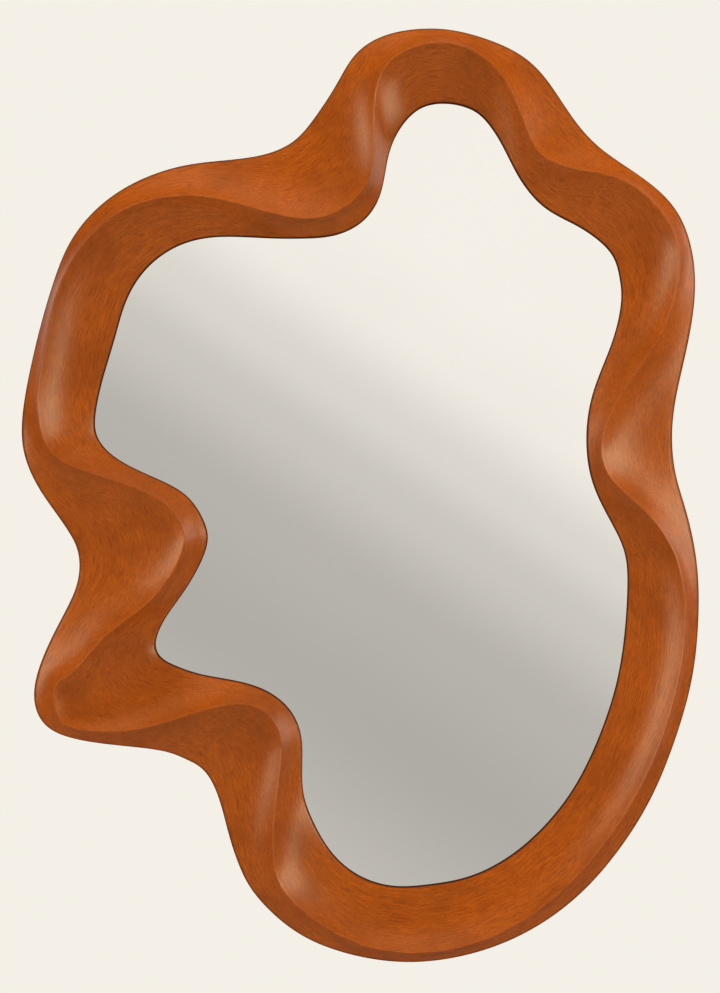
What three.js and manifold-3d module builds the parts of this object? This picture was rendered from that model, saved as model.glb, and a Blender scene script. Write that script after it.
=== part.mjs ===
// An irregular wall mirror in a carved wooden frame, in millimetres.
// The wall is the plane y = 0, the front faces -y and +z is up. The origin lies on the wall, behind the
// middle of the frame's width and height. A "depth" is the distance in front of the wall, so y = -depth.
import * as THREE from 'three';
import { mergeVertices } from 'three/addons/utils/BufferGeometryUtils.js';
import Module from 'manifold-3d';

const wasm = await Module();
wasm.setup();

// Depths of the frame
const FRAME_BACK = 6.5;
const LIP_BACK = 14.2;
const LIP_FRONT = 20;
const EDGE_FRONT = 22;
const RIDGE_FRONT = 50;

// The frame's section
const RABBET_WIDTH = 12;
const EDGE_ROUND = 3;
const LIP_ROUND = 1.5;
const BACK_CHAMFER = 1.5;
const HOLLOW_PER_WIDTH = 1 / 90;
const LEAST_HOLLOW = 0.15;
const MOST_HOLLOW = 0.95;

// The frame's mesh: length of its columns, where its rows lie between ridge (0) and edge (1), the turn at
// which a rounding has its one row, and how many chords stand for an edge from rib to rib
const COLUMN_LENGTH = 12;
const SIDE_ROWS = [0.12, 0.27, 0.45, 0.65, 0.85];
const ROUND_ROW_TURN = THREE.MathUtils.degToRad(45);
const CHORDS_PER_RIB = 8;

// Clearance between pieces that touch or turn on each other
const GAP = 0.25;

// Glass and what lies behind it
const GLASS_BACK = 9.9;
const GLASS_FRONT = 13.9;
const BOARD_BACK = 6.6;
const BOARD_FRONT = 9.6;
const PANE_OVERLAP = 10;
const PANE_STEPS_PER_RIB = 2;
const BLOCK_LENGTH_RIBS = 0.36;

// Loose tenons
const TENON_LENGTH = 50;
const TENON_WIDTH = 36;
const TENON_BACK = 10;
const TENON_FRONT = 16;
const TENON_CHAMFER = 2;
const MORTISE_END_ROOM = 1;

// Screws, all alike
const SCREW_HEAD_RADIUS = 3.4;
const SCREW_HEAD_HEIGHT = 2.1;
const SCREW_CORE_RADIUS = 1.45;
const SCREW_TIP = 17;
const SCREW_TAPER = 3;
const SCREW_CROWN_RADIUS = 2;
const SCREW_SHOULDER_RADIUS = 3.2;
const SCREW_SHOULDER_HEIGHT = 1.3;
const PILOT_RADIUS = 1.75;
const PILOT_BOTTOM = 17.5;
const SCREW_SIDES = 8;

// Turn buttons
const SHEET = 2;
const BUTTON_FRONT = FRAME_BACK - GAP;
const BUTTON_BACK = BUTTON_FRONT - SHEET;
const BUTTON_LONG_END = 28;
const BUTTON_SHORT_END = 7;
const BUTTON_WIDTH = 12;
const BUTTON_HOLE_RADIUS = 2.1;
const PIVOT_FROM_RABBET = 14;

// Strap hangers and D-rings
const STRAP_WIDTH = 16;
const STRAP_LENGTH = 38;
const STRAP_HOLES = [-14, -29];
const STRAP_HOLE_RADIUS = 2.1;
const LOOP_RADIUS = 2.75;
const LOOP_BORE = 1.75;
const LOOP_SIDES = 12;
const BAR_DEPTH = BUTTON_FRONT - LOOP_RADIUS;
const WIRE_RADIUS = 1.5;
const WIRE_SIDES = 8;
const RING_HALF_WIDTH = 11;
const RING_CORNER = 3;
const RING_LEAN = THREE.MathUtils.degToRad(3);
const HANGER_SPACING = 609.6;
const HANGER_LEFT_X = -292;
const HANGER_BAR_Z = 250;

// Rubber bumpers
const BUMPER_RADIUS = 7;
const BUMPER_FOOT_RADIUS = 5.5;
const BUMPER_RIM = 2;
const BUMPER_SIDES = 20;
const BUMPER_SHARE_OF_WIDTH = 0.45;

// Ribs of the frame, clockwise from the top as seen from the front. Each names three points, as x and z:
// one on the outer edge, one on the ridge and one on the inner edge.
const RIBS = [
  [[76, 507.5], [79.5, 487.5], [89.5, 427]],
  [[118, 502], [123, 478], [113.5, 423.5]],
  [[163, 485.5], [151, 454.5], [132.5, 413]],
  [[195, 461.5], [168, 425.5], [149, 392]],
  [[218, 430.5], [181, 392], [162.5, 367]],
  [[237.5, 402.5], [199, 364], [176.5, 341.5]],
  [[261.5, 377.5], [236.5, 350.5], [201.5, 313.5]],
  [[293, 355], [268, 345], [235, 294.5]],
  [[325, 331], [305, 325.5], [261, 277]],
  [[349.5, 300], [331, 295], [277, 258]],
  [[362.5, 257], [342.5, 267.5], [283.5, 234.5]],
  [[363.5, 209.5], [341.5, 226.5], [284.5, 208.5]],
  [[355, 157.5], [320, 167], [274.5, 166]],
  [[344, 107.5], [283, 112], [255, 114.5]],
  [[339.5, 64.5], [261, 58.5], [247, 65]],
  [[343, 25], [271, 17.5], [253, 16]],
  [[352.5, -9.5], [307, -17], [272.5, -27]],
  [[362.5, -49.5], [336, -57], [289, -64.5]],
  [[368, -96], [348, -98], [291.5, -106]],
  [[367, -151.5], [350.5, -151], [288.5, -150.5]],
  [[357.5, -215.5], [340.5, -212], [279, -207.5]],
  [[333, -292], [317.5, -283], [257, -272]],
  [[299, -360], [278, -355], [224.5, -332]],
  [[243, -430], [226.5, -417.5], [177, -383]],
  [[172.5, -479.5], [163.5, -465], [125, -413.5]],
  [[101, -503], [96, -489.5], [77.5, -424]],
  [[37, -507], [33.5, -491.5], [37, -426]],
  [[-22, -496], [-16, -477], [2, -416]],
  [[-71.5, -473.5], [-55, -453], [-24.5, -396.5]],
  [[-110, -439], [-83, -425], [-42, -373]],
  [[-129, -408.5], [-93, -395], [-54.5, -348]],
  [[-141, -375], [-93, -356.5], [-62, -322.5]],
  [[-150, -341.5], [-88.5, -316], [-63, -292.5]],
  [[-160, -314], [-84, -276], [-64, -264]],
  [[-172.5, -297], [-89, -250], [-75, -236]],
  [[-187.5, -288], [-107.5, -229.5], [-100.5, -214]],
  [[-207.5, -280], [-142, -225.5], [-134.5, -202.5]],
  [[-235.5, -275], [-187.5, -237.5], [-169.5, -196]],
  [[-272.5, -271], [-239, -252], [-194.5, -188.5]],
  [[-311.5, -264.5], [-291, -254], [-211, -181]],
  [[-343, -249], [-324, -240.5], [-219, -174]],
  [[-354.5, -216], [-328, -207], [-222.5, -165.5]],
  [[-344.5, -175.5], [-308, -188.5], [-221, -152.5]],
  [[-327.5, -139.5], [-273.5, -151], [-211.5, -133]],
  [[-312.5, -109.5], [-235, -121.5], [-195, -109.5]],
  [[-306, -87.5], [-205.5, -88], [-178.5, -83]],
  [[-305.5, -69.5], [-190.5, -57], [-166.5, -52]],
  [[-309.5, -53.5], [-190.5, -36.5], [-171.5, -25.5]],
  [[-319, -36.5], [-207, -11.5], [-193, 2.5]],
  [[-334, -15], [-245.5, 9.5], [-232.5, 23]],
  [[-352, 12.5], [-297.5, 26.5], [-267, 41.5]],
  [[-366, 49], [-334, 48.5], [-286.5, 64]],
  [[-366.5, 92], [-347, 90], [-288, 92]],
  [[-357.5, 142], [-344.5, 134], [-280, 128.5]],
  [[-345.5, 191], [-334, 191], [-268, 169]],
  [[-331, 238.5], [-321, 232], [-257.5, 205]],
  [[-313, 279], [-300, 268], [-243, 234]],
  [[-282.5, 315], [-267, 300], [-222, 257]],
  [[-241, 342], [-230.5, 317], [-194, 273.5]],
  [[-194, 358], [-189.5, 323], [-162, 281]],
  [[-150, 364], [-148.5, 318.5], [-128.5, 281.5]],
  [[-111.5, 369], [-104, 306.5], [-93.5, 280]],
  [[-84, 378], [-65, 298.5], [-58, 280]],
  [[-66, 390.5], [-33.5, 302], [-25, 284]],
  [[-52, 407], [-7.5, 318], [4.5, 300]],
  [[-38, 427], [9.5, 341.5], [22.5, 329]],
  [[-23, 451.5], [16, 375], [30, 365]],
  [[-3, 481.5], [15.5, 421.5], [41, 395]],
  [[31.5, 501.5], [31, 466.5], [62.5, 419.5]],
];

// The ribs at which the segments are glued together, and the turn buttons and bumpers as places on the ring
const JOINTS = [0, 6, 13, 19, 23, 27, 33, 41, 46, 52, 57, 62];
const BUTTON_PLACES = [3, 11.5, 17.6, 22, 29.3, 37.4, 49.3, 59.4];
const BUMPER_PLACES = [7.3, 20.6, 30.8, 58.3];
const BLOCK_PLACES = [24.7, 26.6];

const materials = {
  wood: new THREE.MeshStandardMaterial({ color: 0xa14e1c, roughness: 0.4 }),
  tenon: new THREE.MeshStandardMaterial({ color: 0xc9a06c, roughness: 0.7 }),
  mirror: new THREE.MeshStandardMaterial({ color: 0xd9d9d6, roughness: 0.04, metalness: 1 }),
  board: new THREE.MeshStandardMaterial({ color: 0x6d4a2f, roughness: 0.75 }),
  steel: new THREE.MeshStandardMaterial({ color: 0xb9b7b0, roughness: 0.35, metalness: 1 }),
  rubber: new THREE.MeshStandardMaterial({ color: 0x2b2a29, roughness: 0.85 }),
};
const mirrorFrame = new THREE.Group();

function addPiece(name, geometry, material) {
  const piece = new THREE.Mesh(geometry, material);
  piece.name = name;
  mirrorFrame.add(piece);
  return piece;
}

function toSolid(geometry) {
  const bare = new THREE.BufferGeometry();
  bare.setAttribute('position', geometry.getAttribute('position'));
  bare.setIndex(geometry.getIndex());
  const merged = mergeVertices(bare, 1e-3);
  const vertProperties = Float32Array.from(merged.getAttribute('position').array);
  const triVerts = Uint32Array.from(merged.getIndex().array);
  return new wasm.Manifold(new wasm.Mesh({ numProp: 3, vertProperties, triVerts }));
}

function toGeometry(solid) {
  const mesh = solid.getMesh();
  const geometry = new THREE.BufferGeometry();
  geometry.setAttribute('position', new THREE.BufferAttribute(mesh.vertProperties, mesh.numProp));
  geometry.setIndex(new THREE.BufferAttribute(mesh.triVerts, 1));
  geometry.computeVertexNormals();
  return geometry;
}

// A closed smooth curve through points, one unit of its parameter from each point to the next
function smoothLoop(points) {
  const count = points.length;
  const at = (list, i) => list[((i % count) + count) % count];
  let slopes = points.map(() => new THREE.Vector2());
  for (let pass = 0; pass < 50; pass++) {
    slopes = points.map((_, i) => at(points, i + 1).clone()
      .sub(at(points, i - 1))
      .multiplyScalar(3)
      .sub(at(slopes, i - 1))
      .sub(at(slopes, i + 1))
      .divideScalar(4));
  }
  return (place) => {
    const i = Math.floor(place);
    const t = place - i;
    const [p, q, m, n] = [at(points, i), at(points, i + 1), at(slopes, i), at(slopes, i + 1)];
    const point = p.clone().multiplyScalar(2 * t ** 3 - 3 * t ** 2 + 1)
      .addScaledVector(m, t ** 3 - 2 * t ** 2 + t)
      .addScaledVector(q, 3 * t ** 2 - 2 * t ** 3)
      .addScaledVector(n, t ** 3 - t ** 2);
    const along = p.clone().multiplyScalar(6 * t ** 2 - 6 * t)
      .addScaledVector(m, 3 * t ** 2 - 4 * t + 1)
      .addScaledVector(q, 6 * t - 6 * t ** 2)
      .addScaledVector(n, 3 * t ** 2 - 2 * t);
    return { point, along };
  };
}

const rails = [0, 1, 2].map((k) => smoothLoop(RIBS.map((rib) => new THREE.Vector2(...rib[k]))));
const [outerRail, ridgeRail, innerRail] = rails;

// The inner edge moved into the wood by a distance
function innerOffset(place, distance) {
  const { point, along } = innerRail(place);
  const outward = new THREE.Vector2(-along.y, along.x).normalize();
  return point.addScaledVector(outward, distance);
}

function chords(rail) {
  const steps = RIBS.length * CHORDS_PER_RIB;
  return Array.from({ length: steps }, (_, i) => rail(i / CHORDS_PER_RIB).point);
}
const [outerChords, ridgeChords, innerChords] = rails.map(chords);

// A smooth stand-in for the distance to a closed curve: pi over the integral of ds / r^2, exact beside a
// straight line. Over one chord the integral is the angle it covers divided by its distance.
function reach(point, curve) {
  let sum = 0;
  let a = curve[curve.length - 1].clone().sub(point);
  for (const corner of curve) {
    const b = corner.clone().sub(point);
    const sides = a.length() * b.length();
    const angle = Math.acos(THREE.MathUtils.clamp(a.dot(b) / sides, -1, 1));
    sum += (a.distanceTo(b) / sides) * (angle < 1e-6 ? 1 : angle / Math.max(Math.sin(angle), 1e-9));
    a = b;
  }
  return Math.PI / sum;
}

// The carved front between the ridge and one edge: a hollow that is deeper where the side is wider
function carvedDepth(point, edgeCurve, edgeDepth) {
  const toRidge = reach(point, ridgeChords);
  const toEdge = reach(point, edgeCurve);
  const width = toRidge + toEdge;
  const climb = toEdge / width;
  const hollow = THREE.MathUtils.clamp(width * HOLLOW_PER_WIDTH, LEAST_HOLLOW, MOST_HOLLOW);
  return edgeDepth + (RIDGE_FRONT - edgeDepth) * ((1 - hollow) * climb + hollow * climb ** 3);
}

const onFrame = (point, depth) => new THREE.Vector3(point.x, -depth, point.y);

// Points of one carved side, from the edge's rounding up to the row below the ridge
function carvedSide(edge, ridge, edgeCurve, edgeDepth, rounding) {
  const inward = ridge.clone().sub(edge).normalize();
  const start = edge.clone().addScaledVector(inward, rounding);
  const bend = edge.clone().addScaledVector(inward, rounding * (1 - Math.cos(ROUND_ROW_TURN)));
  const drop = rounding * (1 - Math.sin(ROUND_ROW_TURN));
  const points = [
    onFrame(edge, edgeDepth - rounding),
    onFrame(bend, carvedDepth(bend, edgeCurve, edgeDepth) - drop),
    onFrame(start, carvedDepth(start, edgeCurve, edgeDepth)),
  ];
  for (const row of [...SIDE_ROWS].reverse()) {
    const point = ridge.clone().lerp(start, row);
    points.push(onFrame(point, carvedDepth(point, edgeCurve, edgeDepth)));
  }
  return points;
}

// The frame's whole section at one place on the ring
function frameSection(place) {
  const [outer, ridge, inner] = rails.map((rail) => rail(place).point);
  const rabbet = innerOffset(place, RABBET_WIDTH);
  const backStart = outer.clone().lerp(rabbet, BACK_CHAMFER / outer.distanceTo(rabbet));
  return [
    onFrame(backStart, FRAME_BACK),
    onFrame(outer, FRAME_BACK + BACK_CHAMFER),
    ...carvedSide(outer, ridge, outerChords, EDGE_FRONT, EDGE_ROUND),
    onFrame(ridge, RIDGE_FRONT),
    ...carvedSide(inner, ridge, innerChords, LIP_FRONT, LIP_ROUND).reverse(),
    onFrame(inner, LIP_BACK),
    onFrame(rabbet, LIP_BACK),
    onFrame(rabbet, FRAME_BACK),
  ];
}

// A skin through sections of equal counts, closed on itself or capped at both ends
function loft(sections, closed = false) {
  const sides = sections[0].length;
  const faces = [];
  const spans = closed ? sections.length : sections.length - 1;
  for (let i = 0; i < spans; i++) {
    const here = i * sides;
    const next = ((i + 1) % sections.length) * sides;
    for (let j = 0; j < sides; j++) {
      const k = (j + 1) % sides;
      faces.push(here + j, next + k, next + j, here + j, here + k, next + k);
    }
  }
  if (!closed) {
    faces.push(...cap(sections[0], 0, false));
    faces.push(...cap(sections.at(-1), (sections.length - 1) * sides, true));
  }
  const geometry = new THREE.BufferGeometry();
  const coordinates = sections.flat().flatMap((p) => p.toArray());
  geometry.setAttribute('position', new THREE.Float32BufferAttribute(coordinates, 3));
  geometry.setIndex(faces);
  geometry.computeVertexNormals();
  return geometry;
}

// The flat end of a loft: distance across the section against depth
function cap(section, first, far) {
  const start = section[0];
  const outline = section.map((p) => new THREE.Vector2(Math.hypot(p.x - start.x, p.z - start.z), -p.y));
  const turn = THREE.ShapeUtils.isClockWise(outline) !== far;
  return THREE.ShapeUtils.triangulateShape(outline, [])
    .flatMap(([a, b, c]) => (turn ? [first + a, first + b, first + c] : [first + a, first + c, first + b]));
}

// A flat plate between two depths, from an outline in x and z
function plate(outline, back, front, holes = []) {
  const shape = new THREE.Shape(outline);
  for (const hole of holes) {
    shape.holes.push(hole);
  }
  const geometry = new THREE.ExtrudeGeometry(shape, { depth: front - back, bevelEnabled: false });
  return geometry.translate(0, 0, back).rotateX(Math.PI / 2);
}

function polygon(x, z, radius, sides) {
  return Array.from({ length: sides }, (_, i) => {
    const angle = (2 * Math.PI * i) / sides;
    return new THREE.Vector2(x + radius * Math.cos(angle), z + radius * Math.sin(angle));
  });
}

function pilotHole(point) {
  return toSolid(plate(polygon(point.x, point.y, PILOT_RADIUS, SCREW_SIDES), FRAME_BACK - 1, PILOT_BOTTOM));
}

function addScrew(name, point) {
  const underHead = BUTTON_BACK - GAP;
  const profile = [
    [0, -SCREW_TIP],
    [SCREW_CORE_RADIUS, -SCREW_TIP + SCREW_TAPER],
    [SCREW_CORE_RADIUS, -underHead],
    [SCREW_HEAD_RADIUS, -underHead],
    [SCREW_SHOULDER_RADIUS, -underHead + SCREW_SHOULDER_HEIGHT],
    [SCREW_CROWN_RADIUS, -underHead + SCREW_HEAD_HEIGHT],
    [0, -underHead + SCREW_HEAD_HEIGHT],
  ];
  const geometry = new THREE.LatheGeometry(profile.map((p) => new THREE.Vector2(...p)), SCREW_SIDES);
  addPiece(name, geometry, materials.steel).position.set(point.x, 0, point.y);
}

// Loose tenons and their mortises, one at each joint, square to the joint's line
function tenonAt(place, spare, endRoom) {
  const outer = outerRail(place).point;
  const rabbet = innerOffset(place, RABBET_WIDTH);
  const middle = outer.clone().lerp(rabbet, 0.5);
  const width = TENON_WIDTH + 2 * spare;
  const thickness = TENON_FRONT - TENON_BACK + 2 * spare;
  const length = TENON_LENGTH + 2 * endRoom;
  const [w, t, c] = [width / 2, thickness / 2, TENON_CHAMFER];
  const half = [[w, c - t], [w, t - c], [w - c, t], [c - w, t]];
  const otherHalf = half.map(([x, y]) => [-x, -y]);
  const corners = [...half, ...otherHalf].map((corner) => new THREE.Vector2(...corner));
  const outline = new THREE.Shape(corners);
  const geometry = new THREE.ExtrudeGeometry(outline, { depth: length, bevelEnabled: false });
  const across = new THREE.Vector3(rabbet.x - outer.x, 0, rabbet.y - outer.y).normalize();
  const rearward = new THREE.Vector3(0, 1, 0);
  const turned = new THREE.Matrix4().makeBasis(across, rearward, across.clone().cross(rearward));
  turned.setPosition(middle.x, -(TENON_BACK + TENON_FRONT) / 2, middle.y);
  return geometry.translate(0, 0, -length / 2).applyMatrix4(turned);
}

const pivotPoints = BUTTON_PLACES.map((place) => innerOffset(place, RABBET_WIDTH + PIVOT_FROM_RABBET));
const hangerXs = [HANGER_LEFT_X, HANGER_LEFT_X + HANGER_SPACING];
const strapScrewPoints = hangerXs.flatMap((x) => (
  STRAP_HOLES.map((z) => new THREE.Vector2(x, HANGER_BAR_Z + z))
));

// Places on the ring of one segment's columns, kept off both glue lines
function columnPlaces(from, to) {
  const slowest = (place) => Math.min(...rails.map((rail) => rail(place).along.length()));
  const places = [];
  for (let rib = from; rib < to; rib++) {
    const longest = Math.max(...rails.map((rail) => rail(rib).point.distanceTo(rail(rib + 1).point)));
    const steps = Math.max(2, Math.round(longest / COLUMN_LENGTH));
    for (let step = 0; step < steps; step++) {
      places.push(rib + step / steps);
    }
  }
  places[0] += GAP / 2 / slowest(from);
  places.push(to - GAP / 2 / slowest(to));
  return places;
}

function addSegments() {
  const mortises = JOINTS.map((joint) => toSolid(tenonAt(joint, GAP, MORTISE_END_ROOM)));
  const pilots = [...pivotPoints, ...strapScrewPoints].map(pilotHole);
  JOINTS.forEach((from, i) => {
    const to = i + 1 < JOINTS.length ? JOINTS[i + 1] : RIBS.length;
    let segment = toSolid(loft(columnPlaces(from, to).map(frameSection)));
    segment = segment.subtract(mortises[i]).subtract(mortises[(i + 1) % JOINTS.length]);
    for (const pilot of pilots) {
      segment = segment.subtract(pilot);
    }
    addPiece(`frame_segment_${i + 1}`, toGeometry(segment), materials.wood);
  });
}

function addTenons() {
  JOINTS.forEach((joint, i) => addPiece(`loose_tenon_${i + 1}`, tenonAt(joint, 0, 0), materials.tenon));
}

function addPanes() {
  const steps = RIBS.length * PANE_STEPS_PER_RIB;
  const places = Array.from({ length: steps }, (_, i) => i / PANE_STEPS_PER_RIB);
  const outline = places.map((place) => innerOffset(place, PANE_OVERLAP));
  addPiece('mirror_glass', plate(outline, GLASS_BACK, GLASS_FRONT), materials.mirror);
  addPiece('backing_board', plate(outline, BOARD_BACK, BOARD_FRONT), materials.board);
}

function addSettingBlocks() {
  BLOCK_PLACES.forEach((place, i) => {
    const sections = [-0.5, 0, 0.5].map((side) => {
      const here = place + side * BLOCK_LENGTH_RIBS;
      const near = innerOffset(here, PANE_OVERLAP + GAP);
      const far = innerOffset(here, RABBET_WIDTH - GAP);
      return [
        onFrame(far, GLASS_BACK),
        onFrame(far, GLASS_FRONT),
        onFrame(near, GLASS_FRONT),
        onFrame(near, GLASS_BACK),
      ];
    });
    addPiece(`setting_block_${i + 1}`, loft(sections), materials.rubber);
  });
}

// A turn button lies across the rabbet at rest, its long end over the board
function addButtons() {
  const half = BUTTON_WIDTH / 2;
  const outline = new THREE.Shape();
  outline.moveTo(0, -BUTTON_SHORT_END);
  outline.absarc(0, 0, BUTTON_SHORT_END, -Math.PI / 2, Math.PI / 2, true);
  outline.lineTo(BUTTON_LONG_END - half, half);
  outline.absarc(BUTTON_LONG_END - half, 0, half, Math.PI / 2, -Math.PI / 2, true);
  BUTTON_PLACES.forEach((place, i) => {
    const pivot = pivotPoints[i];
    const inward = innerRail(place).point.sub(pivot);
    const hole = new THREE.Path(polygon(0, 0, BUTTON_HOLE_RADIUS, SCREW_SIDES));
    const geometry = plate(outline.getPoints(5), BUTTON_BACK, BUTTON_FRONT, [hole]);
    const button = addPiece(`turn_button_${i + 1}`, geometry, materials.steel);
    button.position.set(pivot.x, 0, pivot.y);
    button.rotation.y = -Math.atan2(inward.y, inward.x);
    addScrew(`button_screw_${i + 1}`, pivot);
  });
}

// A strap folded round the ring's bar: its section in z and depth, cut to a tongue in x and z
function strapSolid() {
  const section = new THREE.Shape();
  const plateRear = BUTTON_BACK - BAR_DEPTH;
  const meet = Math.asin(plateRear / LOOP_RADIUS);
  section.moveTo(-STRAP_LENGTH, LOOP_RADIUS);
  section.lineTo(0, LOOP_RADIUS);
  section.absarc(0, 0, LOOP_RADIUS, Math.PI / 2, Math.PI - meet, true);
  section.lineTo(-STRAP_LENGTH, plateRear);
  section.holes.push(new THREE.Path(polygon(0, 0, LOOP_BORE, LOOP_SIDES)));
  const leaf = { depth: STRAP_WIDTH, bevelEnabled: false, curveSegments: LOOP_SIDES };
  const folded = new THREE.ExtrudeGeometry(section, leaf);
  const upright = new THREE.Matrix4().makeBasis(
    new THREE.Vector3(0, 0, 1),
    new THREE.Vector3(0, -1, 0),
    new THREE.Vector3(1, 0, 0),
  );
  folded.translate(0, BAR_DEPTH, -STRAP_WIDTH / 2).applyMatrix4(upright);
  const half = STRAP_WIDTH / 2;
  const tongue = new THREE.Shape();
  tongue.moveTo(-half, 2 * LOOP_RADIUS);
  tongue.lineTo(-half, half - STRAP_LENGTH);
  tongue.absarc(0, half - STRAP_LENGTH, half, Math.PI, 2 * Math.PI, false);
  tongue.lineTo(half, 2 * LOOP_RADIUS);
  let strap = toSolid(folded).intersect(toSolid(plate(tongue.getPoints(5), -1, FRAME_BACK)));
  for (const z of STRAP_HOLES) {
    strap = strap.subtract(toSolid(plate(polygon(0, z, STRAP_HOLE_RADIUS, SCREW_SIDES), -1, FRAME_BACK)));
  }
  return strap;
}

// The ring's wire: a straight bar, two corners, two legs and a half circle, in x and z round the bar
function ringGeometry() {
  const path = new THREE.Path();
  const straight = RING_HALF_WIDTH - RING_CORNER;
  path.moveTo(-straight, 0);
  path.lineTo(straight, 0);
  path.absarc(straight, RING_CORNER, RING_CORNER, -Math.PI / 2, 0, false);
  path.lineTo(RING_HALF_WIDTH, RING_HALF_WIDTH);
  path.absarc(0, RING_HALF_WIDTH, RING_HALF_WIDTH, 0, Math.PI, false);
  path.lineTo(-RING_HALF_WIDTH, RING_CORNER);
  path.absarc(-straight, RING_CORNER, RING_CORNER, Math.PI, 1.5 * Math.PI, false);
  const corners = path.getPoints(5).slice(0, -1);
  const spots = corners.filter((p, i) => p.distanceTo(corners.at(i - 1)) > 0.1);
  const sections = spots.map((spot, i) => {
    const ahead = spots[(i + 1) % spots.length].clone().sub(spot).normalize();
    const behind = spot.clone().sub(spots.at(i - 1)).normalize();
    const along = ahead.add(behind).normalize();
    const outward = new THREE.Vector2(along.y, -along.x);
    return polygon(0, 0, WIRE_RADIUS, WIRE_SIDES).map((around) => new THREE.Vector3(
      spot.x + outward.x * around.x,
      around.y,
      spot.y + outward.y * around.x,
    ));
  });
  return loft(sections, true);
}

function addHangers() {
  const strap = toGeometry(strapSolid());
  const ring = ringGeometry().rotateX(RING_LEAN);
  hangerXs.forEach((x, i) => {
    const side = i === 0 ? 'left' : 'right';
    addPiece(`hanger_strap_${side}`, strap.clone(), materials.steel).position.set(x, 0, HANGER_BAR_Z);
    addPiece(`d_ring_${side}`, ring.clone(), materials.steel).position.set(x, -BAR_DEPTH, HANGER_BAR_Z);
  });
  strapScrewPoints.forEach((point, i) => addScrew(`hanger_screw_${i + 1}`, point));
}

function addBumpers() {
  const front = FRAME_BACK - GAP;
  const profile = [
    [0, -front],
    [BUMPER_RADIUS, -front],
    [BUMPER_RADIUS, -front + BUMPER_RIM],
    [BUMPER_FOOT_RADIUS, 0],
    [0, 0],
  ];
  BUMPER_PLACES.forEach((place, i) => {
    const rabbet = innerOffset(place, RABBET_WIDTH);
    const middle = outerRail(place).point.lerp(rabbet, BUMPER_SHARE_OF_WIDTH);
    const geometry = new THREE.LatheGeometry(profile.map((p) => new THREE.Vector2(...p)), BUMPER_SIDES);
    addPiece(`bumper_${i + 1}`, geometry, materials.rubber).position.set(middle.x, 0, middle.y);
  });
}

addSegments();
addTenons();
addPanes();
addSettingBlocks();
addButtons();
addHangers();
addBumpers();

export default mirrorFrame;
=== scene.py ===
import math

import bmesh
import bpy
import numpy as np
from mathutils import Matrix, Vector
from mathutils.geometry import tessellate_polygon


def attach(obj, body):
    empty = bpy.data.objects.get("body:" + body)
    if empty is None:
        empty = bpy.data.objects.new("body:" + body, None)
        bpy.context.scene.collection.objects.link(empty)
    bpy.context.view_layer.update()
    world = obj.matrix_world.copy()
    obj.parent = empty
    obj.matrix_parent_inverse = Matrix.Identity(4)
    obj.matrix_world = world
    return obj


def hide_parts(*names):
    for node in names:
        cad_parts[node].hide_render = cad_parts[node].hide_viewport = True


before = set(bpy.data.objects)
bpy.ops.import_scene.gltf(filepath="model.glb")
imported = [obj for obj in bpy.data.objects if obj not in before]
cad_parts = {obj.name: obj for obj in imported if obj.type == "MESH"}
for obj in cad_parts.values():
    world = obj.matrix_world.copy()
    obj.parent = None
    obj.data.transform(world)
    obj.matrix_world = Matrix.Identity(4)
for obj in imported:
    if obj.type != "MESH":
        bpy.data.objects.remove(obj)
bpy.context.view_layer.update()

# An irregular wall mirror in a carved wooden ring. Lengths are in millimetres until a mesh is made.
# The wall is the plane y = 0 and the front faces -y. A "depth" is the distance in front of the wall.
MM = 0.001

# The frame's section
FRAME_BACK = 6.5
LIP_BACK = 14.2
LIP_FRONT = 20
EDGE_FRONT = 22
RIDGE_FRONT = 50
RABBET_WIDTH = 12
EDGE_ROUND = 3
EDGE_ALLOWANCE = 0.05
LIP_ROUND = 1.5
BACK_CHAMFER = 1.5
HOLLOW_PER_WIDTH = 1 / 90
LEAST_HOLLOW = 0.15
MOST_HOLLOW = 0.95
CREST_ROUND = 0.7

# The grain follows the ring, smoothed over a few ribs. Each rib and each side has its own stretch of
# grain, this many metres further on
GRAIN_SMOOTHING = {-2: 1, -1: 2, 0: 3, 1: 2, 2: 1}
GRAIN_STEP_ALONG = 3.7
GRAIN_STEP_ACROSS = 5.3

# The stain is rubbed off, and a highlight is painted pale, this near to the ridge
CREST_MARK_REACH = 1.3

# Shade is painted in the flat of a hollow, at these depths and where the wood faces the front this fully
PAINTED_SHADE_DEPTHS = (35, 42, 47, 49.5)
PAINTED_SHADE_FACING = (0.86, 0.97)

# Dark stain and painted shade lie in the rounding of both edges, and painted shade lies on the lip's wall
# by the glass: their share on each row, from the edge inwards. The outer side and the back have some too
EDGE_DARKNESS = (1.0, 1.0, 0.9, 0.55, 0.2)
BACK_DARKNESS = 0.35

# How finely the carved surface is meshed
COLUMN_LENGTH = 4.5
SIDE_ROWS = 34
ROW_CROWDING = 1.5
ROUND_ROWS = 5
CHORDS_PER_RIB = 8
SLOPE_ROUNDS = 50
POINTS_AT_ONCE = 2000
LEAST_SIDES = 1e-9
STRAIGHT = 1e-7
TINY = 1e-12

# Panes
GAP = 0.25
GLASS_BACK = 9.9
GLASS_FRONT = 13.9
BOARD_BACK = 6.6
BOARD_FRONT = 9.6
PANE_OVERLAP = 10
PANE_STEP = 0.25
GLASS_EASE = 0.4
BOARD_EASE = 0.3

# Turn buttons, of sheet steel like the straps
SHEET = 2
HARDWARE_FRONT = FRAME_BACK - GAP
SHEET_BACK = HARDWARE_FRONT - SHEET
BUTTON_LONG_END = 28
BUTTON_SHORT_END = 7
BUTTON_WIDTH = 12
BUTTON_EASE = 0.35
SCREW_HOLE_RADIUS = 2.1
PIVOT_FROM_RABBET = 14

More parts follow.
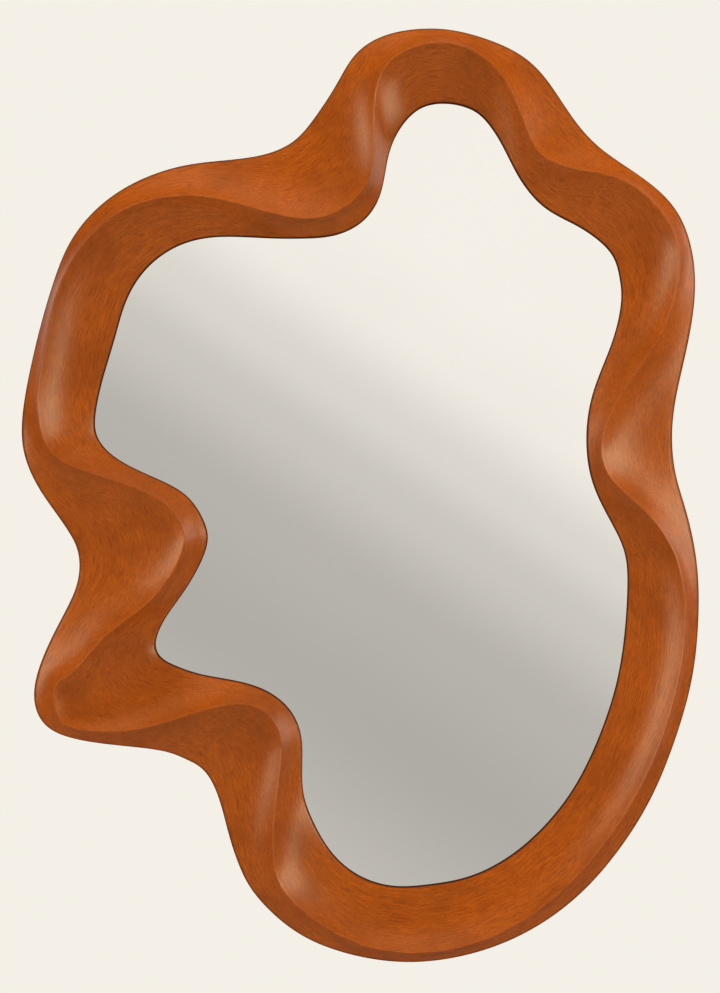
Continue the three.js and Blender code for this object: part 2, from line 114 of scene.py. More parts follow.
# Screws. A thread's turn is given in shares of the pitch and of the core's radius
SCREW_HEAD_RADIUS = 3.4
SCREW_HEAD_HEIGHT = 2.1
SCREW_CORE_RADIUS = 1.45
SCREW_TIP = 17
SCREW_TAPER = 3
SCREW_SHANK = 3.4
THREAD_PITCH = 1.3
THREAD_FORM = ((0, 1), (0.2, 1), (0.6, 0.76))
HEAD_RIM = 0.5
HEAD_EASE = 0.15
RECESS_DEPTH = 1.1
RECESS_REACH = 1.9
RECESS_HALF_TIP = 0.36
RECESS_HALF_ROOT = 0.42
RECESS_EASE = 0.06
RADIANS_FROM_SCREW_TO_SCREW = 1.1
SCREW_SIDES = 32

# Straps and D-rings
STRAP_WIDTH = 16
STRAP_LENGTH = 38
STRAP_HOLES = (-14, -29)
STRAP_EASE = 0.25
LOOP_RADIUS = 2.75
LOOP_BORE = 1.75
BAR_DEPTH = HARDWARE_FRONT - LOOP_RADIUS
WIRE_RADIUS = 1.5
WIRE_SIDES = 16
RING_HALF_WIDTH = 11
RING_CORNER = 3
RING_LEAN = math.radians(3)
HANGERS = {"left": -292, "right": -292 + 609.6}
HANGER_BAR_Z = 250

# Bumpers. Pairs are a radius and a depth, and BUMPER_ACROSS is a share of the frame's back
BUMPER_RADIUS = 7
BUMPER_EASE = 0.3
BUMPER_RIM = 2
BUMPER_NECK = (5.6, 0.8)
BUMPER_FOOT_RADIUS = 5.5
BUMPER_FOOT_ROUND = 0.6
BUMPER_DIMPLE = ((2.6, 0), (2.3, 0.15), (1.9, 1.2), (0, 1.3))
BUMPER_ACROSS = 0.45
BUMPER_SIDES = 48

# Ribs of the frame, clockwise from the top: a point of the outer edge, one of the ridge and one of the
# inner edge, as x and z
RIBS = np.array([
    [[76, 507.5], [79.5, 487.5], [89.5, 427]], [[118, 502], [123, 478], [113.5, 423.5]],
    [[163, 485.5], [151, 454.5], [132.5, 413]], [[195, 461.5], [168, 425.5], [149, 392]],
    [[218, 430.5], [181, 392], [162.5, 367]], [[237.5, 402.5], [199, 364], [176.5, 341.5]],
    [[261.5, 377.5], [236.5, 350.5], [201.5, 313.5]], [[293, 355], [268, 345], [235, 294.5]],
    [[325, 331], [305, 325.5], [261, 277]], [[349.5, 300], [331, 295], [277, 258]],
    [[362.5, 257], [342.5, 267.5], [283.5, 234.5]], [[363.5, 209.5], [341.5, 226.5], [284.5, 208.5]],
    [[355, 157.5], [320, 167], [274.5, 166]], [[344, 107.5], [283, 112], [255, 114.5]],
    [[339.5, 64.5], [261, 58.5], [247, 65]], [[343, 25], [271, 17.5], [253, 16]],
    [[352.5, -9.5], [307, -17], [272.5, -27]], [[362.5, -49.5], [336, -57], [289, -64.5]],
    [[368, -96], [348, -98], [291.5, -106]], [[367, -151.5], [350.5, -151], [288.5, -150.5]],
    [[357.5, -215.5], [340.5, -212], [279, -207.5]], [[333, -292], [317.5, -283], [257, -272]],
    [[299, -360], [278, -355], [224.5, -332]], [[243, -430], [226.5, -417.5], [177, -383]],
    [[172.5, -479.5], [163.5, -465], [125, -413.5]], [[101, -503], [96, -489.5], [77.5, -424]],
    [[37, -507], [33.5, -491.5], [37, -426]], [[-22, -496], [-16, -477], [2, -416]],
    [[-71.5, -473.5], [-55, -453], [-24.5, -396.5]], [[-110, -439], [-83, -425], [-42, -373]],
    [[-129, -408.5], [-93, -395], [-54.5, -348]], [[-141, -375], [-93, -356.5], [-62, -322.5]],
    [[-150, -341.5], [-88.5, -316], [-63, -292.5]], [[-160, -314], [-84, -276], [-64, -264]],
    [[-172.5, -297], [-89, -250], [-75, -236]], [[-187.5, -288], [-107.5, -229.5], [-100.5, -214]],
    [[-207.5, -280], [-142, -225.5], [-134.5, -202.5]], [[-235.5, -275], [-187.5, -237.5], [-169.5, -196]],
    [[-272.5, -271], [-239, -252], [-194.5, -188.5]], [[-311.5, -264.5], [-291, -254], [-211, -181]],
    [[-343, -249], [-324, -240.5], [-219, -174]], [[-354.5, -216], [-328, -207], [-222.5, -165.5]],
    [[-344.5, -175.5], [-308, -188.5], [-221, -152.5]], [[-327.5, -139.5], [-273.5, -151], [-211.5, -133]],
    [[-312.5, -109.5], [-235, -121.5], [-195, -109.5]], [[-306, -87.5], [-205.5, -88], [-178.5, -83]],
    [[-305.5, -69.5], [-190.5, -57], [-166.5, -52]], [[-309.5, -53.5], [-190.5, -36.5], [-171.5, -25.5]],
    [[-319, -36.5], [-207, -11.5], [-193, 2.5]], [[-334, -15], [-245.5, 9.5], [-232.5, 23]],
    [[-352, 12.5], [-297.5, 26.5], [-267, 41.5]], [[-366, 49], [-334, 48.5], [-286.5, 64]],
    [[-366.5, 92], [-347, 90], [-288, 92]], [[-357.5, 142], [-344.5, 134], [-280, 128.5]],
    [[-345.5, 191], [-334, 191], [-268, 169]], [[-331, 238.5], [-321, 232], [-257.5, 205]],
    [[-313, 279], [-300, 268], [-243, 234]], [[-282.5, 315], [-267, 300], [-222, 257]],
    [[-241, 342], [-230.5, 317], [-194, 273.5]], [[-194, 358], [-189.5, 323], [-162, 281]],
    [[-150, 364], [-148.5, 318.5], [-128.5, 281.5]], [[-111.5, 369], [-104, 306.5], [-93.5, 280]],
    [[-84, 378], [-65, 298.5], [-58, 280]], [[-66, 390.5], [-33.5, 302], [-25, 284]],
    [[-52, 407], [-7.5, 318], [4.5, 300]], [[-38, 427], [9.5, 341.5], [22.5, 329]],
    [[-23, 451.5], [16, 375], [30, 365]], [[-3, 481.5], [15.5, 421.5], [41, 395]],
    [[31.5, 501.5], [31, 466.5], [62.5, 419.5]],
], float)
OUTER, RIDGE, INNER = range(3)
JOINTS = [0, 6, 13, 19, 23, 27, 33, 41, 46, 52, 57, 62]
BUTTON_PLACES = [3, 11.5, 17.6, 22, 29.3, 37.4, 49.3, 59.4]
BUMPER_PLACES = [7.3, 20.6, 30.8, 58.3]


# The carved surface


def rail_slopes(points):
    """The slope at each point of the smoothest closed curve through them all."""
    slopes = np.zeros_like(points)
    for _ in range(SLOPE_ROUNDS):
        ahead = np.roll(points, -1, 0) - np.roll(points, 1, 0)
        slopes = (3 * ahead - np.roll(slopes, -1, 0) - np.roll(slopes, 1, 0)) / 4
    return slopes


RAILS = [(RIBS[:, k], rail_slopes(RIBS[:, k])) for k in (OUTER, RIDGE, INNER)]


def on_rail(which, places):
    """Points of one rail at places on the ring, and its direction there."""
    points, slopes = RAILS[which]
    places = np.atleast_1d(np.asarray(places, float))
    before = np.floor(places).astype(int)
    t = (places - before)[:, None]
    i, k = before % len(points), (before + 1) % len(points)
    p, q, m, n = points[i], points[k], slopes[i], slopes[k]
    spot = (p * (2 * t**3 - 3 * t**2 + 1) + q * (3 * t**2 - 2 * t**3)
            + m * (t**3 - 2 * t**2 + t) + n * (t**3 - t**2))
    along = (p - q) * (6 * t**2 - 6 * t) + m * (3 * t**2 - 4 * t + 1) + n * (3 * t**2 - 2 * t)
    return spot, along


def into_wood(places, distance):
    """The inner edge moved into the wood by a distance."""
    spot, along = on_rail(INNER, places)
    outward = np.stack([-along[:, 1], along[:, 0]], 1)
    return spot + outward * (distance / np.hypot(*along.T))[:, None]


CHORDS = [on_rail(k, np.arange(0, len(RIBS), 1 / CHORDS_PER_RIB))[0] for k in (OUTER, RIDGE, INNER)]


def reach(points, curve):
    """A smooth stand-in for the distance to a closed curve: pi over the integral of ds / r^2."""
    chord = np.hypot(*(np.roll(curve, -1, 0) - curve).T)
    found = np.empty(len(points))
    for start in range(0, len(points), POINTS_AT_ONCE):
        here = slice(start, start + POINTS_AT_ONCE)
        a = curve[None] - points[here, None]
        b = np.roll(a, -1, 1)
        sides = np.hypot(a[..., 0], a[..., 1]) * np.hypot(b[..., 0], b[..., 1])
        sides = np.maximum(sides, LEAST_SIDES)
        cross = np.abs(a[..., 0] * b[..., 1] - a[..., 1] * b[..., 0])
        angle = np.arctan2(cross, (a * b).sum(-1))
        bend = np.where(cross < STRAIGHT * sides, 1, angle * sides / np.maximum(cross, TINY))
        found[here] = math.pi / (chord * bend / sides).sum(1)
    return found


def carved_depth(points, edge, edge_depth):
    """The carved front between the ridge and one edge, and each point's distance from the ridge."""
    to_ridge = reach(points, CHORDS[RIDGE])
    to_edge = reach(points, CHORDS[edge])
    width = to_ridge + to_edge
    climb = 1 - (np.hypot(to_ridge, CREST_ROUND) - CREST_ROUND) / width
    hollow = np.clip(width * HOLLOW_PER_WIDTH, LEAST_HOLLOW, MOST_HOLLOW)
    rise = (1 - hollow) * climb + hollow * climb**3
    return edge_depth + (RIDGE_FRONT - edge_depth) * rise, to_ridge


def column_places():
    """Places on the whole ring, close enough together, with one at every rib."""
    ribs = np.arange(len(RIBS) + 1)
    gaps = [np.hypot(*np.diff(on_rail(k, ribs)[0], axis=0).T) for k in (OUTER, RIDGE, INNER)]
    counts = np.maximum(2, np.round(np.max(gaps, 0) / COLUMN_LENGTH).astype(int))
    return np.concatenate([rib + np.arange(count) / count for rib, count in enumerate(counts)])


def moved_towards(points, goals, distance):
    return points + (goals - points) * (distance / np.hypot(*(goals - points).T))[:, None]


def carved_side(edge, at_edge, at_ridge, edge_depth, rounding):
    """Rows of one side, from its edge to just below the ridge: x, z, depth, distance from the ridge."""
    inward = (at_ridge - at_edge) / np.hypot(*(at_ridge - at_edge).T)[:, None]
    turns = np.linspace(0, math.pi / 2, ROUND_ROWS + 1)
    insets = [rounding * (1 - math.cos(turn)) for turn in turns]
    drops = [rounding * (1 - math.sin(turn)) for turn in turns]
    rows = [(at_edge + inward * inset, drop) for inset, drop in zip(insets, drops)]
    start = rows[-1][0]
    for step in range(SIDE_ROWS - 1, 0, -1):
        rows.append((at_ridge + (start - at_ridge) * (step / SIDE_ROWS) ** ROW_CROWDING, 0))
    points = np.stack([row for row, _ in rows])
    depth, to_ridge = carved_depth(points.reshape(-1, 2), edge, edge_depth)
    depth = depth.reshape(points.shape[:2]) - np.array([drop for _, drop in rows])[:, None]
    return np.dstack([points, depth, to_ridge.reshape(points.shape[:2])])


def flat_row(points, depth):
    return np.dstack([points[None], np.full((1, len(points)), depth), np.zeros((1, len(points)))])


def ring_rows(places):
    """Rows of the frame's section, from its outer edge's back over the front to its rabbet, and those
    of them that are corners."""
    outer, ridge, inner = [on_rail(k, places)[0] for k in (OUTER, RIDGE, INNER)]
    rabbet = into_wood(places, RABBET_WIDTH)
    outer = moved_towards(outer, rabbet, EDGE_ALLOWANCE)
    start = moved_towards(outer, rabbet, BACK_CHAMFER)
    outer_side = carved_side(OUTER, outer, ridge, EDGE_FRONT, EDGE_ROUND)
    inner_side = carved_side(INNER, inner, ridge, LIP_FRONT, LIP_ROUND)[::-1]
    outer_side[..., 3] *= -1
    rows = [
        flat_row(start, FRAME_BACK),
        flat_row(outer, FRAME_BACK + BACK_CHAMFER),
        outer_side,
        flat_row(ridge, RIDGE_FRONT),
        inner_side,
        flat_row(inner, LIP_BACK),
        flat_row(rabbet, LIP_BACK),
        flat_row(rabbet, FRAME_BACK),
    ]
    corners = [0, 1, 2, -4, -3, -2, -1]
    return np.concatenate(rows), corners


# Making meshes


def new_piece(name, mesh, material, body, stands_for):
    piece = bpy.data.objects.new(name, mesh)
    bpy.context.scene.collection.objects.link(piece)
    mesh.materials.clear()
    for each in material if isinstance(material, tuple) else (material,):
        mesh.materials.append(each)
    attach(piece, body)
    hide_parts(stands_for)
    return piece


def to_metres(points, depths):
    """x and z points with their depths, as x, y and z in metres."""
    depths = np.broadcast_to(depths, points.shape[:-1])
    return np.stack([points[..., 0], -depths, points[..., 1]], -1) * MM


def mesh_of(name, vertices, faces, smooth_angle=None):
    mesh = bpy.data.meshes.new(name)
    mesh.from_pydata([tuple(v) for v in vertices], [], [tuple(int(i) for i in f) for f in faces])
    if smooth_angle is not None:
        mesh.shade_smooth()
        mesh.set_sharp_from_angle(angle=math.radians(smooth_angle))
    mesh.update()
    return mesh


def turned(profile, sides):
    """A body turned about the y axis, from radii and depths that start and end on it, front first."""
    inner = profile[1:-1]
    angles = 2 * math.pi * np.arange(sides) / sides
    rings = [np.stack([radius * np.cos(angles), np.full(sides, -depth), radius * np.sin(angles)], 1)
             for radius, depth in inner]
    vertices = np.concatenate([[[0, -profile[0][1], 0]], *rings, [[0, -profile[-1][1], 0]]]) * MM
    faces = []
    for k in range(sides):
        n = (k + 1) % sides
        faces.append((0, 1 + k, 1 + n))
        for ring in range(len(inner) - 1):
            here, above = 1 + ring * sides, 1 + (ring + 1) * sides
            faces.append((here + k, above + k, above + n, here + n))
        last = 1 + (len(inner) - 1) * sides
        faces.append((last + k, len(vertices) - 1, last + n))
    return vertices, faces


def arc(x, z, radius, start, end, count):
    angles = np.radians(np.linspace(start, end, count))
    return np.stack([x + radius * np.cos(angles), z + radius * np.sin(angles)], 1)


def eased(outline, distance):
    """An outline that runs anticlockwise, moved inwards by a distance."""
    along = np.roll(outline, -1, 0) - np.roll(outline, 1, 0)
    inward = np.stack([-along[:, 1], along[:, 0]], 1)
    return outline + inward * (distance / np.hypot(*along.T))[:, None]


def eased_plate(outline, holes, back, front, ease):
    """A flat plate with eased edges, from an anticlockwise outline and clockwise holes, in x and z."""
    loops = [outline, *holes]
    levels = [(back, 0), (front, 0)]
    if ease:
        levels = [(back, ease), (back + ease, 0), (front - ease, 0), (front, ease)]
    vertices = np.concatenate([
        to_metres(eased(loop, inset), depth) for depth, inset in levels for loop in loops
    ])
    per_level = sum(len(loop) for loop in loops)
    faces = []
    first = 0
    for loop in loops:
        for level in range(len(levels) - 1):
            here, above = level * per_level + first, (level + 1) * per_level + first
            for k in range(len(loop)):
                n = (k + 1) % len(loop)
                faces.append((here + k, here + n, above + n, above + k))
        first += len(loop)
    flat = [[Vector((x, z, 0)) for x, z in eased(loop, ease)] for loop in loops]
    top = (len(levels) - 1) * per_level
    points = np.concatenate([eased(loop, ease) for loop in loops])
    for a, b, c in tessellate_polygon(flat):
        turn = np.cross(points[b] - points[a], points[c] - points[a])
        a, b, c = (a, b, c) if turn > 0 else (a, c, b)
        faces.append((a, c, b))
        faces.append((top + a, top + b, top + c))
    return vertices, faces


def cut(mesh, tool, operation="DIFFERENCE"):
    """mesh with tool taken away from it, or kept only inside it."""
    body = bpy.data.objects.new("body", mesh)
    cutter = bpy.data.objects.new("cutter", tool)
    for each in (body, cutter):
        bpy.context.scene.collection.objects.link(each)
    step = body.modifiers.new("cut", "BOOLEAN")
    step.operation = operation
    step.solver = "EXACT"
    step.object = cutter
    result = bpy.data.meshes.new_from_object(body.evaluated_get(bpy.context.evaluated_depsgraph_get()))
    for each in (body, cutter):
        bpy.data.objects.remove(each)
    return result


def softened(mesh, width, sharpest=35, segments=2):
    """mesh with its sharp edges bevelled."""
    body = bpy.data.objects.new("body", mesh)
    bpy.context.scene.collection.objects.link(body)
    step = body.modifiers.new("bevel", "BEVEL")
    step.width = width * MM
    step.segments = segments
    step.limit_method = "ANGLE"
    step.angle_limit = math.radians(sharpest)
    result = bpy.data.meshes.new_from_object(body.evaluated_get(bpy.context.evaluated_depsgraph_get()))
    bpy.data.objects.remove(body)
    result.shade_smooth()
    result.set_sharp_from_angle(angle=math.radians(30))
    return result


# Finishes


def node(tree, kind, **inputs):
    """A new node with values on its sockets, by socket name with _ for a space."""
    made = tree.nodes.new(kind)
    for name, value in inputs.items():
        made.inputs[name.replace("_", " ")].default_value = value
    return made


def math_node(tree, operation, first, second=None, clamp=False):
    made = tree.nodes.new("ShaderNodeMath")
    made.operation = operation
    made.use_clamp = clamp
    for socket, value in zip(made.inputs, (first, second)):
        if isinstance(value, bpy.types.NodeSocket):
            tree.links.new(value, socket)
        elif value is not None:
            socket.default_value = value
    return made.outputs[0]


def spread(tree, value, to_low, to_high, low=0, high=1):
    """A value taken smoothly from one range to another, and no further."""
    made = tree.nodes.new("ShaderNodeMapRange")
    made.interpolation_type = "SMOOTHSTEP"
    tree.links.new(value, made.inputs["Value"])
    for name, number in zip(("From Min", "From Max", "To Min", "To Max"), (low, high, to_low, to_high)):
        made.inputs[name].default_value = number
    return made.outputs["Result"]


def blended(tree, share, first, second):
    """Two colours blended by a share; each is a socket or a plain colour."""
    made = tree.nodes.new("ShaderNodeMix")
    made.data_type = "RGBA"
    for socket, value in ((made.inputs[0], share), (made.inputs[6], first), (made.inputs[7], second)):
        if isinstance(value, bpy.types.NodeSocket):
            tree.links.new(value, socket)
        elif socket.type == "RGBA":
            socket.default_value = (*value, 1)
        else:
            socket.default_value = value
    return made.outputs[2]


def between(tree, share, first, second):
    """A value that goes from first to second with a share."""
    made = tree.nodes.new("ShaderNodeMix")
    for socket, value in zip(made.inputs, (share, None, first, second)):
        if value is not None:
            tree.links.new(value, socket)
    return made.outputs[0]


def new_group(name, inputs, outputs):
    """A shader node group. inputs are (name, kind, value) and outputs (name, kind)."""
    tree = bpy.data.node_groups.new(name, "ShaderNodeTree")
    for label, kind, value in inputs:
        socket = tree.interface.new_socket(label, in_out="INPUT", socket_type="NodeSocket" + kind)
        if value is not None:
            socket.default_value = value
    for label, kind in outputs:
        tree.interface.new_socket(label, in_out="OUTPUT", socket_type="NodeSocket" + kind)
    return tree, tree.nodes.new("NodeGroupInput"), tree.nodes.new("NodeGroupOutput")


def use_group(tree, group, vector, **values):
    made = tree.nodes.new("ShaderNodeGroup")
    made.node_tree = group
    if vector is not None:
        tree.links.new(vector, made.inputs["Vector"])
    for name, value in values.items():
        made.inputs[name.replace("_", " ")].default_value = value
    return made.outputs


def grain_group():
    """Long streaks and short dark pores that run along the vector's x. Sizes are in metres."""
    inputs = [
        ("Vector", "Vector", None), ("Streak Length", "Float", 0.03), ("Streak Width", "Float", 0.001),
    ]
    tree, given, out = new_group("long grain", inputs, [("Streaks", "Float"), ("Pores", "Float")])
    parts = tree.nodes.new("ShaderNodeSeparateXYZ")
    tree.links.new(given.outputs["Vector"], parts.inputs[0])
    for label, length_share, width_share, detail, low, high in (
        ("Streaks", 1, 1, 4, 0.38, 0.62),
        ("Pores", 0.2, 0.7, 1, 0.56, 0.66),
    ):
        length = math_node(tree, "MULTIPLY", given.outputs["Streak Length"], length_share)
        width = math_node(tree, "MULTIPLY", given.outputs["Streak Width"], width_share)
        run = tree.nodes.new("ShaderNodeCombineXYZ")
        tree.links.new(math_node(tree, "DIVIDE", parts.outputs[0], length), run.inputs[0])
        tree.links.new(math_node(tree, "DIVIDE", parts.outputs[1], width), run.inputs[1])
        tree.links.new(math_node(tree, "DIVIDE", parts.outputs[2], width), run.inputs[2])
        noise = node(tree, "ShaderNodeTexNoise", Scale=1, Detail=detail, Roughness=0.7)
        tree.links.new(run.outputs[0], noise.inputs["Vector"])
        tree.links.new(spread(tree, noise.outputs[0], 0, 1, low, high), out.inputs[label])
    return tree


def mottle_group():
    """A soft cloudy value round a half. Patch Size is in metres."""
    inputs = [("Vector", "Vector", None), ("Patch Size", "Float", 0.04), ("Detail", "Float", 3)]
    tree, given, out = new_group("soft mottle", inputs, [("Value", "Float")])
    scale = math_node(tree, "DIVIDE", 1, given.outputs["Patch Size"])
    noise = node(tree, "ShaderNodeTexNoise", Roughness=0.55)
    tree.links.new(given.outputs["Vector"], noise.inputs["Vector"])
    tree.links.new(scale, noise.inputs["Scale"])
    tree.links.new(given.outputs["Detail"], noise.inputs["Detail"])
    tree.links.new(spread(tree, noise.outputs[0], 0, 1, 0.25, 0.75), out.inputs["Value"])
    return tree


def rubbed_group():
    """A mask that is 1 on outer corners that hands and cloths rub."""
    inputs = [("Threshold", "Float", 0.52), ("Softness", "Float", 0.06)]
    tree, given, out = new_group("rubbed edges", inputs, [("Mask", "Float")])
    shape = tree.nodes.new("ShaderNodeNewGeometry")
    above = math_node(tree, "SUBTRACT", shape.outputs["Pointiness"], given.outputs["Threshold"])
    share = math_node(tree, "DIVIDE", above, given.outputs["Softness"], clamp=True)
    tree.links.new(share, out.inputs["Mask"])
    return tree


LONG_GRAIN = grain_group()
SOFT_MOTTLE = mottle_group()
RUBBED_EDGES = rubbed_group()


def new_finish(name, **values):
    """A material with its Principled BSDF, whose plain numbers are set on its own sockets."""
    material = bpy.data.materials.new(name)
    material.use_nodes = True
    tree = material.node_tree
    shader = tree.nodes["Principled BSDF"]
    for label, value in values.items():
        shader.inputs[label.replace("_", " ")].default_value = value
    return material, tree, shader


def raise_bumps(tree, shader, height, strength, distance):
    bump = node(tree, "ShaderNodeBump", Strength=strength, Distance=distance)
    tree.links.new(height, bump.inputs["Height"])
    tree.links.new(bump.outputs["Normal"], shader.inputs["Normal"])


def object_point(tree):
    return tree.nodes.new("ShaderNodeTexCoord").outputs["Object"]


def named_value(tree, label):
    """A value that the mesh carries under a name."""
    found = tree.nodes.new("ShaderNodeAttribute")
    found.attribute_name = label
    return found.outputs["Fac"]


VARNISH_TINT = (1, 0.86, 0.53, 1)
STREAK_DARK = (0.24, 0.042, 0.0022)
STREAK_LIGHT = (0.50, 0.098, 0.0045)
CLOUD_STAIN = (0.22, 0.038, 0.0020)
PATCH_STAIN = (0.46, 0.095, 0.005)
PORE_STAIN = (0.10, 0.017, 0.002)
HOLLOW_PAINTED_SHADE = (0.16, 0.026, 0.002)
STAINED_AND_SHADED_EDGE = (0.055, 0.014, 0.005)
WORN_CREST_AND_HIGHLIGHT = (0.55, 0.17, 0.04)


def stained_wood_finish(name, shine):
    """Stained wood under thin amber varnish. shine is its specular level."""
    material, tree, shader = new_finish(name, Specular_IOR_Level=shine, Specular_Tint=VARNISH_TINT)
    depth = tree.nodes.new("ShaderNodeSeparateXYZ")
    tree.links.new(object_point(tree), depth.inputs[0])
    share = named_value(tree, "grain_share")
    found = []
    for label in ("grain_here", "grain_ahead"):
        flat = tree.nodes.new("ShaderNodeUVMap")
        flat.uv_map = label
        parts = tree.nodes.new("ShaderNodeSeparateXYZ")
        tree.links.new(flat.outputs[0], parts.inputs[0])
        run = tree.nodes.new("ShaderNodeCombineXYZ")
        for socket, value in zip(run.inputs, (parts.outputs[0], parts.outputs[1], depth.outputs[1])):
            tree.links.new(value, socket)
        streaks = use_group(tree, LONG_GRAIN, run.outputs[0], Streak_Length=0.022, Streak_Width=0.0007)
        found.append(streaks)
    grain = {label: between(tree, share, found[0][label], found[1][label])
             for label in ("Streaks", "Pores")}
    clouds = use_group(tree, SOFT_MOTTLE, object_point(tree), Patch_Size=0.07, Detail=4)
    patches = use_group(tree, SOFT_MOTTLE, object_point(tree), Patch_Size=0.012, Detail=3)
    colour = blended(tree, grain["Streaks"], STREAK_DARK, STREAK_LIGHT)
    colour = blended(tree, spread(tree, clouds["Value"], 0, 0.45, 0.2, 1), colour, CLOUD_STAIN)
    colour = blended(tree, spread(tree, patches["Value"], 0, 0.2, 0.3, 1), colour, PATCH_STAIN)
    colour = blended(tree, spread(tree, grain["Pores"], 0, 0.5), colour, PORE_STAIN)
    hollow, edge, crest = [named_value(tree, label) for label in ("hollow", "edge_stain_and_shade", "crest")]
    # Painted shade: the flat of a hollow near the ridge is darkened where it faces the front
    colour = blended(tree, spread(tree, hollow, 0, 0.35), colour, HOLLOW_PAINTED_SHADE)
    # Dark edge stain, partly painted shade along the edges and on the lip by the glass
    colour = blended(tree, edge, colour, STAINED_AND_SHADED_EDGE)
    # Pale crest: rubbed-off stain and a painted highlight along the ridge
    colour = blended(tree, spread(tree, crest, 0, 0.08), colour, WORN_CREST_AND_HIGHLIGHT)
    tree.links.new(colour, shader.inputs["Base Color"])
    polish = spread(tree, grain["Streaks"], 0.34, 0.31)
    polish = math_node(tree, "MAXIMUM", polish, edge)
    tree.links.new(polish, shader.inputs["Roughness"])
    height = math_node(tree, "SUBTRACT", grain["Streaks"], grain["Pores"])
    raise_bumps(tree, shader, height, 0.03, 0.0004)
    return material


def pale_wood_finish():
    material, tree, shader = new_finish("raw beech", Roughness=0.7)
    point = object_point(tree)
    grain = use_group(tree, LONG_GRAIN, point, Streak_Length=0.03, Streak_Width=0.0012)
    colour = blended(tree, grain["Streaks"], (0.50, 0.31, 0.16), (0.66, 0.45, 0.26))
    colour = blended(tree, spread(tree, grain["Pores"], 0, 0.3), colour, (0.32, 0.18, 0.08))
    tree.links.new(colour, shader.inputs["Base Color"])
    raise_bumps(tree, shader, grain["Streaks"], 0.2, 0.0003)
    return material


GLASS_FROM_THE_WOOD = (0.2, 0.19, 0.18)


def mirror_finish():
    """Silvered glass. The wood sees it darker than the camera does."""
    material, tree, shader = new_finish("silvered glass", Metallic=1.0, Roughness=0.0)
    haze = use_group(tree, SOFT_MOTTLE, object_point(tree), Patch_Size=0.3, Detail=2)
    colour = blended(tree, haze["Value"], (0.93, 0.926, 0.926), (0.948, 0.943, 0.943))
    rays = tree.nodes.new("ShaderNodeLightPath").outputs
    colour = blended(tree, rays["Is Glossy Ray"], colour, GLASS_FROM_THE_WOOD)
    tree.links.new(colour, shader.inputs["Base Color"])
    return material


def flecked_finish(name, rough, patch, detail, dark, light, strength, distance):
    """A plain dull finish with flecks that are also slight bumps."""
    material, tree, shader = new_finish(name, Roughness=rough)
    flecks = use_group(tree, SOFT_MOTTLE, object_point(tree), Patch_Size=patch, Detail=detail)
    tree.links.new(blended(tree, flecks["Value"], dark, light), shader.inputs["Base Color"])
    raise_bumps(tree, shader, flecks["Value"], strength, distance)
    return material


def hardboard_finish():
    material, tree, shader = new_finish("hardboard")
    point = object_point(tree)
    fibres = use_group(tree, SOFT_MOTTLE, point, Patch_Size=0.0022, Detail=5)
    clouds = use_group(tree, SOFT_MOTTLE, point, Patch_Size=0.06, Detail=3)
    colour = blended(tree, fibres["Value"], (0.13, 0.070, 0.033), (0.27, 0.155, 0.078))
    colour = blended(tree, spread(tree, clouds["Value"], 0, 0.3), colour, (0.15, 0.085, 0.045))
    tree.links.new(colour, shader.inputs["Base Color"])
    tree.links.new(spread(tree, fibres["Value"], 0.62, 0.8), shader.inputs["Roughness"])
    raise_bumps(tree, shader, fibres["Value"], 0.25, 0.0003)
    return material


def steel_finish(name, dark, light, rough, patch):
    material, tree, shader = new_finish(name, Metallic=1.0)
    point = object_point(tree)
    spangle = use_group(tree, SOFT_MOTTLE, point, Patch_Size=patch, Detail=3)
    rub = use_group(tree, RUBBED_EDGES, None, Threshold=0.53, Softness=0.08)
    colour = blended(tree, spangle["Value"], dark, light)
    colour = blended(tree, spread(tree, rub["Mask"], 0, 0.5), colour, (0.82, 0.81, 0.78))
    tree.links.new(colour, shader.inputs["Base Color"])
    tree.links.new(spread(tree, spangle["Value"], rough + 0.1, rough), shader.inputs["Roughness"])
    raise_bumps(tree, shader, spangle["Value"], 0.08, 0.0002)
    return material


def rubber_finish():
    material, tree, shader = new_finish("black rubber", Specular_IOR_Level=0.35)
    point = object_point(tree)
    skin = use_group(tree, SOFT_MOTTLE, point, Patch_Size=0.0009, Detail=3)
    rub = use_group(tree, RUBBED_EDGES, None, Threshold=0.53, Softness=0.1)
    colour = blended(tree, skin["Value"], (0.018, 0.018, 0.017), (0.034, 0.033, 0.032))
    colour = blended(tree, spread(tree, rub["Mask"], 0, 0.4), colour, (0.08, 0.078, 0.075))
    tree.links.new(colour, shader.inputs["Base Color"])
    tree.links.new(spread(tree, skin["Value"], 0.65, 0.85), shader.inputs["Roughness"])
    raise_bumps(tree, shader, skin["Value"], 0.2, 0.0002)
    return material


POLISHED_WOOD = stained_wood_finish("polished carved wood", 0.6)
MATT_WOOD = stained_wood_finish("matt edges and back", 0.1)
PALE_WOOD = pale_wood_finish()
MIRROR = mirror_finish()
GLASS_EDGE = flecked_finish(
    "ground glass edge", 0.35, 0.004, 3, (0.20, 0.34, 0.29), (0.36, 0.50, 0.44), 0.2, 0.0003,
)
BACKING_PAINT = flecked_finish(
    "mirror backing paint", 0.6, 0.003, 2, (0.17, 0.18, 0.19), (0.24, 0.25, 0.26), 0.1, 0.0002,
)
HARDBOARD = hardboard_finish()
ZINC = steel_finish("zinc plated steel", (0.50, 0.50, 0.47), (0.64, 0.63, 0.60), 0.3, 0.004)
SCREW_STEEL = steel_finish("yellow zinc screws", (0.52, 0.45, 0.27), (0.66, 0.58, 0.38), 0.28, 0.002)
RUBBER = rubber_finish()


# The carved frame


